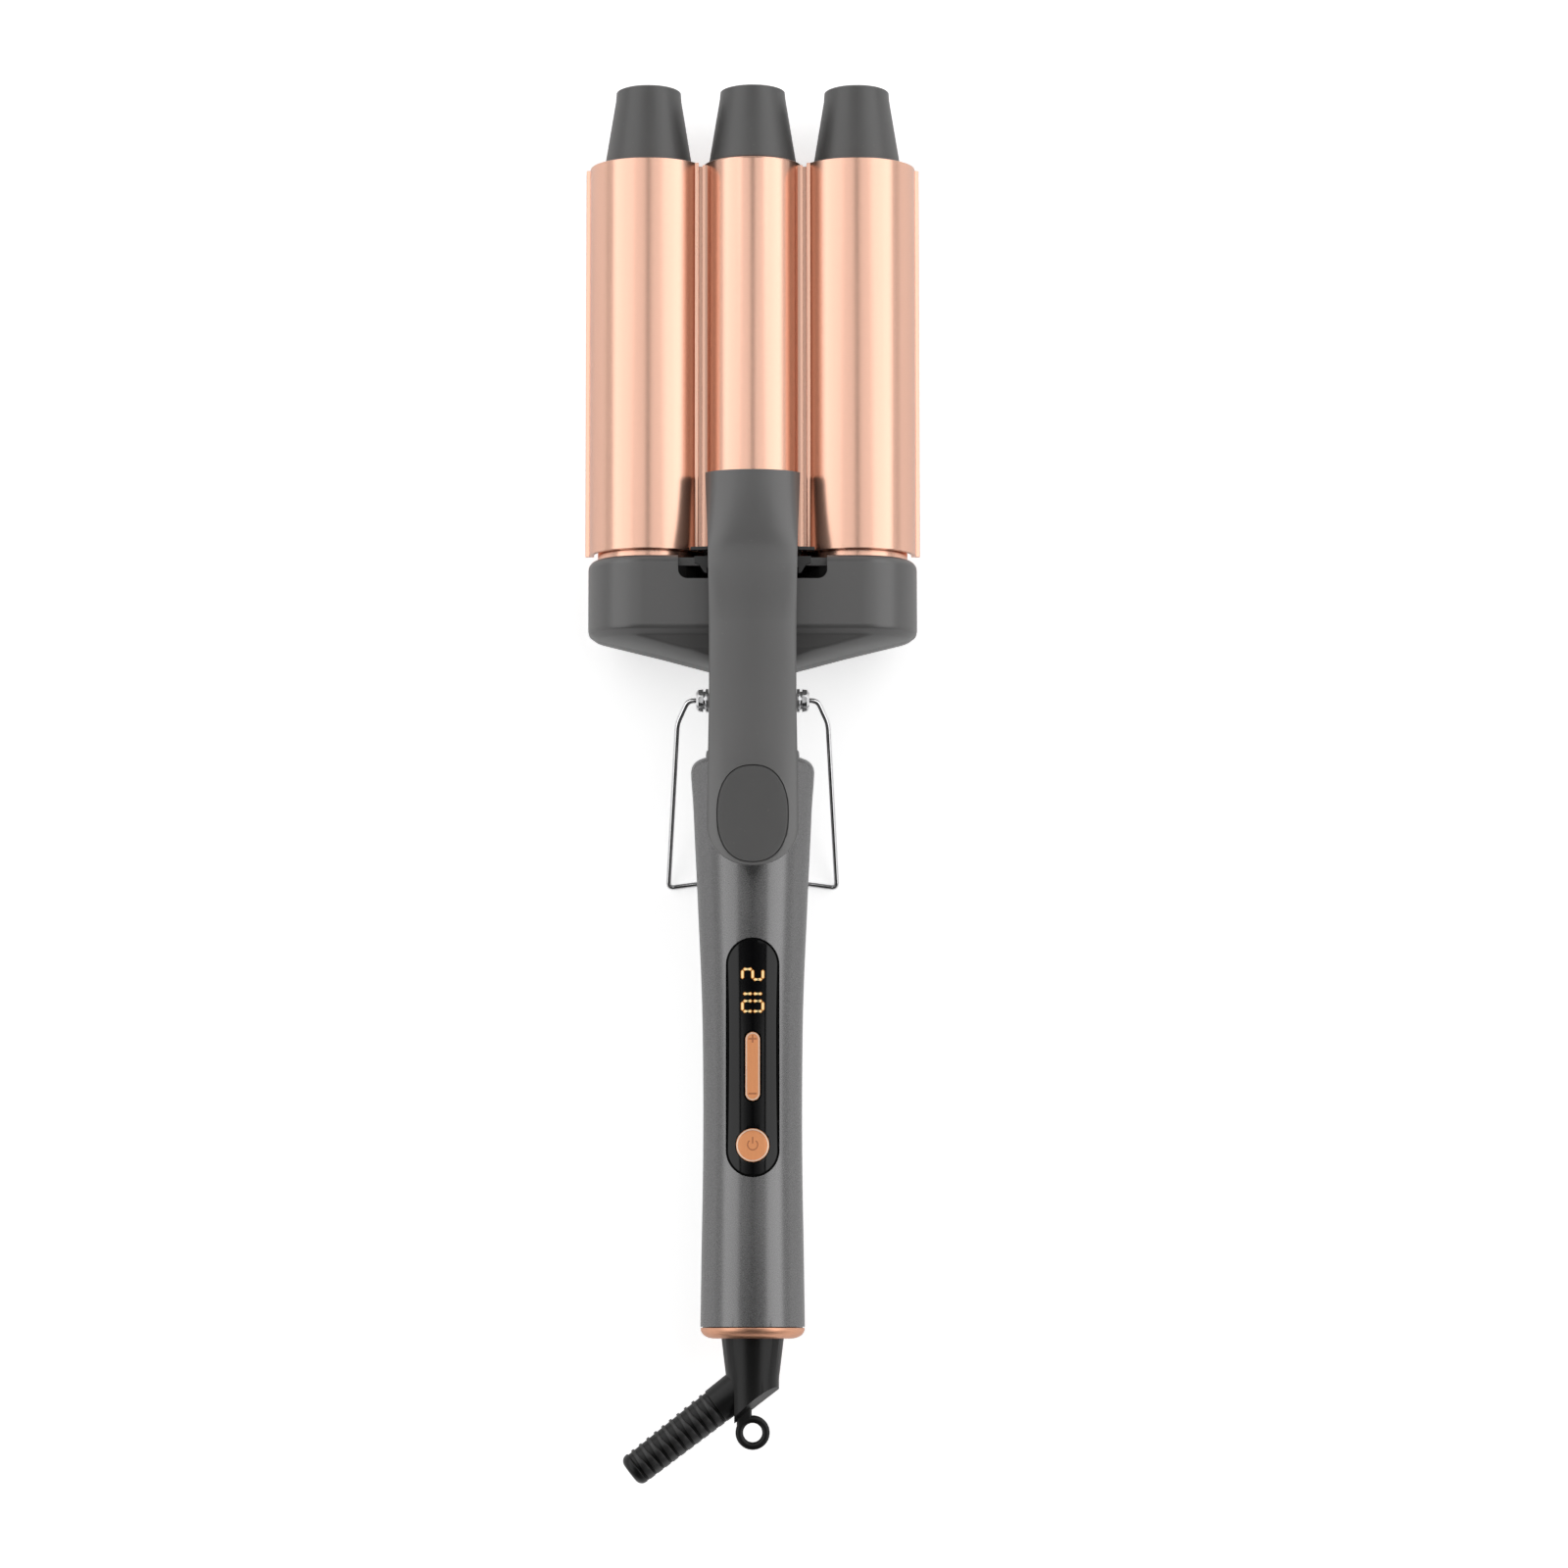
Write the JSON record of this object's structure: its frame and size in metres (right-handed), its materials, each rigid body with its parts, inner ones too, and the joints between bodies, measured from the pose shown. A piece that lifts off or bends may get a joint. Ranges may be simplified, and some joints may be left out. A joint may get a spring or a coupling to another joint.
{
  "type": "hair waver",
  "caption": "Hair waver with fixed and sprung heated barrels, clamp lever, display handle with buttons, folding wire stand and swivel cord relief.",
  "frame": {"origin": "middle of the flat back of the head, which is the face the waver lies on", "axes": "+Y along the handle towards the barrel tips, +Z out of the lever side, +X to the right seen from the lever side"},
  "size_m": [0.1072, 0.4471, 0.0648],
  "materials": {
    "rose_gold": "satin rose-gold anodised",
    "warm_grey_plastic": "fine matte",
    "dark_grey_plastic": "matte heat-resistant",
    "handle_grey": "satin metallic grey paint on plastic",
    "black_gloss": "polished",
    "black_soft": "soft matte",
    "black_plastic": "moulded",
    "chrome_wire": "bright plated steel",
    "steel": "zinc plated",
    "heat_aluminium": "plain extruded",
    "heater_ceramic": "unglazed",
    "module_white": "moulded",
    "contact_brass": "turned",
    "board_green": "solder mask",
    "red_plastic": "insulation",
    "blue_plastic": "insulation"
  },
  "bodies": {
    "handle": {"head_upper_housing": "warm_grey_plastic", "head_lower_housing": "warm_grey_plastic", "handle_upper_shell": "handle_grey", "handle_lower_shell": "handle_grey", "end_ring": "rose_gold", "display_lens": "black_gloss", "barrel_left": "rose_gold", "barrel_right": "rose_gold", "tip_left": "dark_grey_plastic", "tip_right": "dark_grey_plastic", "lower_valley_plate": "rose_gold", "barrel_seat_left": "black_plastic", "barrel_seat_right": "black_plastic", "heater_left": "heater_ceramic", "heater_right": "heater_ceramic", "heat_spreader_left": "heat_aluminium", "heat_spreader_right": "heat_aluminium", "hinge_pin": "steel", "pin_nut_left": "chrome_wire", "pin_nut_right": "chrome_wire", "torsion_spring": "steel", "display_module": "module_white", "control_board": "board_green", "power_switch": "black_plastic", "plus_switch": "black_plastic", "minus_switch": "black_plastic", "heater_triac": "black_plastic", "filter_capacitor": "red_plastic", "thermal_fuse": "steel", "heater_lead_left": "red_plastic", "heater_lead_right": "blue_plastic", "mains_lead_left": "red_plastic", "mains_lead_right": "blue_plastic", "swivel_socket": "black_plastic", "head_screw_left": "steel", "head_screw_right": "steel", "handle_screw_1": "steel", "handle_screw_2": "steel", "board_screw_1": "steel", "board_screw_2": "steel"},
    "clamp": {"lever_cover": "warm_grey_plastic", "thumb_pad": "dark_grey_plastic", "jaw_bracket": "dark_grey_plastic", "wing_left": "rose_gold", "wing_right": "rose_gold", "jaw_rail_left": "rose_gold", "jaw_rail_right": "rose_gold", "barrel_middle": "rose_gold", "tip_middle": "dark_grey_plastic", "heater_middle": "heater_ceramic", "heat_spreader_middle": "heat_aluminium", "heater_lead_middle": "red_plastic", "saddle_screw_1": "steel", "saddle_screw_2": "steel"},
    "stand": {"stand_wire": "chrome_wire"},
    "power_key": {"power_button": "rose_gold"},
    "temperature_key": {"temperature_rocker": "rose_gold"},
    "cord_swivel": {"strain_relief": "black_soft", "swivel_contact": "contact_brass"}
  },
  "joints": [
    {"name": "clamp_hinge", "type": "hinge", "parent": "handle", "child": "clamp", "pos_m": [0, -0.03185, 0.027], "axis": [1, 0, 0], "range_deg": [0, 20], "stiffness_Nm_per_rad": 1.2, "springref_deg": -25.78},
    {"name": "stand_hinge", "type": "hinge", "parent": "handle", "child": "stand", "pos_m": [0, -0.03185, 0.027], "axis": [1, 0, 0], "range_deg": [0, 85]},
    {"name": "power_press", "type": "slide", "parent": "handle", "child": "power_key", "axis": [0, 0, -1], "range_m": [0, 0.0005], "stiffness_N_per_m": 1500, "springref_m": -0.001},
    {"name": "temperature_rock", "type": "hinge", "parent": "handle", "child": "temperature_key", "pos_m": [0, -0.14865, 0.0312], "axis": [1, 0, 0], "range_deg": [-2.5, 2.5], "stiffness_Nm_per_rad": 0.08},
    {"name": "cord_turn", "type": "hinge", "parent": "handle", "child": "cord_swivel", "pos_m": [0, -0.23685, 0.021], "axis": [0, 1, 0], "continuous": true}
  ]
}
